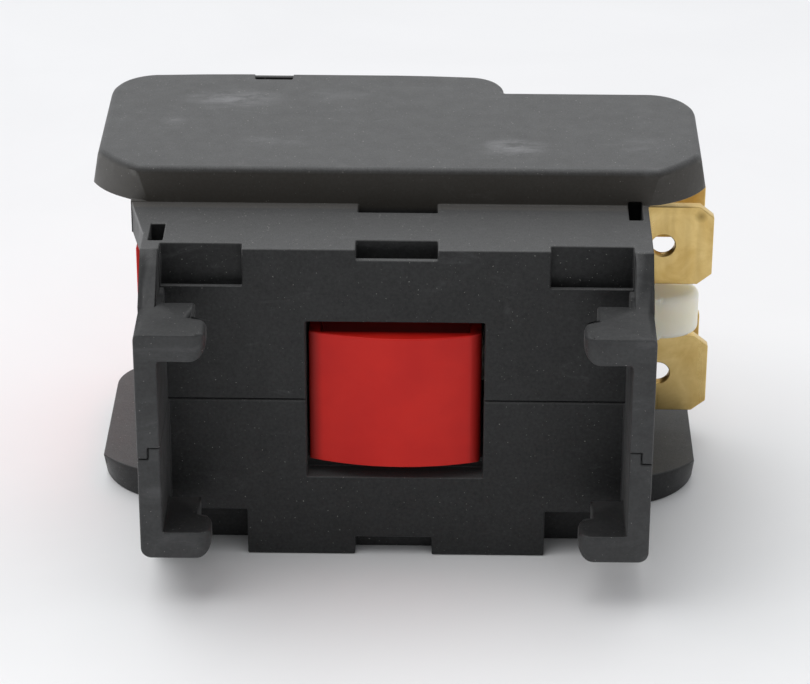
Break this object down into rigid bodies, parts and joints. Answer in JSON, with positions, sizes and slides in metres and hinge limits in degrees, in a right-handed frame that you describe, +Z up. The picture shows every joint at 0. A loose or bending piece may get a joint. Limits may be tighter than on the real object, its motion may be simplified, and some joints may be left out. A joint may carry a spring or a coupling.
{
  "type": "emergency stop module",
  "caption": "Black two-shell emergency stop module with a red push pad, a tail in its rear window, snap arms for a switch block and brass quick-connect tabs.",
  "frame": {"origin": "on the lower outer face, in the middle between the rear wall and the flange's edge over the push pad, on the body's centre line", "axes": "+X towards the brass tabs, +Y towards the operator's push pad, +Z up, square to the shells' parting plane"},
  "size_m": [0.0452, 0.0366, 0.0271],
  "materials": {
    "black_nylon": "fine moulded grain, glass-filled nylon",
    "red_plastic": "satin moulded acetal",
    "milky_nylon": "natural nylon, slightly translucent",
    "brass": "stamped and rolled",
    "silver_contact": "silver alloy rivet",
    "bronze": "phosphor bronze strip",
    "spring_steel": "drawn spring wire",
    "zinc_steel": "zinc plated"
  },
  "bodies": {
    "housing": {"upper_housing": "black_nylon", "lower_housing": "black_nylon", "latch_spring": "spring_steel", "assembly_screws": "zinc_steel", "terminal_upper_near": "brass", "fixed_contact_upper_near": "silver_contact", "terminal_lower_near": "brass", "fixed_contact_lower_near": "silver_contact", "terminal_upper_far": "brass", "fixed_contact_upper_far": "silver_contact", "terminal_lower_far": "brass", "fixed_contact_lower_far": "silver_contact", "return_spring_upper": "spring_steel", "return_spring_lower": "spring_steel"},
    "button": {"stop_button": "red_plastic", "drive_pin": "zinc_steel"},
    "carrier": {"contact_carrier": "milky_nylon", "contact_spring_near": "spring_steel", "contact_spring_far": "spring_steel"},
    "bridge_near": {"contact_bridge_near": "bronze", "moving_contacts_near": "silver_contact"},
    "bridge_far": {"contact_bridge_far": "bronze", "moving_contacts_far": "silver_contact"}
  },
  "joints": [
    {"name": "button_press", "type": "slide", "parent": "housing", "child": "button", "axis": [0, -1, 0], "range_m": [0, 0.004], "stiffness_N_per_m": 300, "springref_m": -0.004, "deforming": ["return_spring_upper", "return_spring_lower", "latch_spring"]},
    {"name": "carrier_slide", "type": "slide", "parent": "housing", "child": "carrier", "axis": [0, -1, 0], "range_m": [0, 0.004]},
    {"name": "bridge_near_slide", "type": "slide", "parent": "housing", "child": "bridge_near", "axis": [0, -1, 0], "range_m": [0, 0.0034], "deforming": ["contact_spring_near"]},
    {"name": "bridge_far_slide", "type": "slide", "parent": "housing", "child": "bridge_far", "axis": [0, -1, 0], "range_m": [0, 0.0034], "deforming": ["contact_spring_far"]}
  ],
  "couplings": [
    {"joint": "carrier_slide", "follows": "button_press", "ratio": 1},
    {"joint": "bridge_near_slide", "follows": "button_press", "ratio": 0.85},
    {"joint": "bridge_far_slide", "follows": "button_press", "ratio": 0.85}
  ]
}
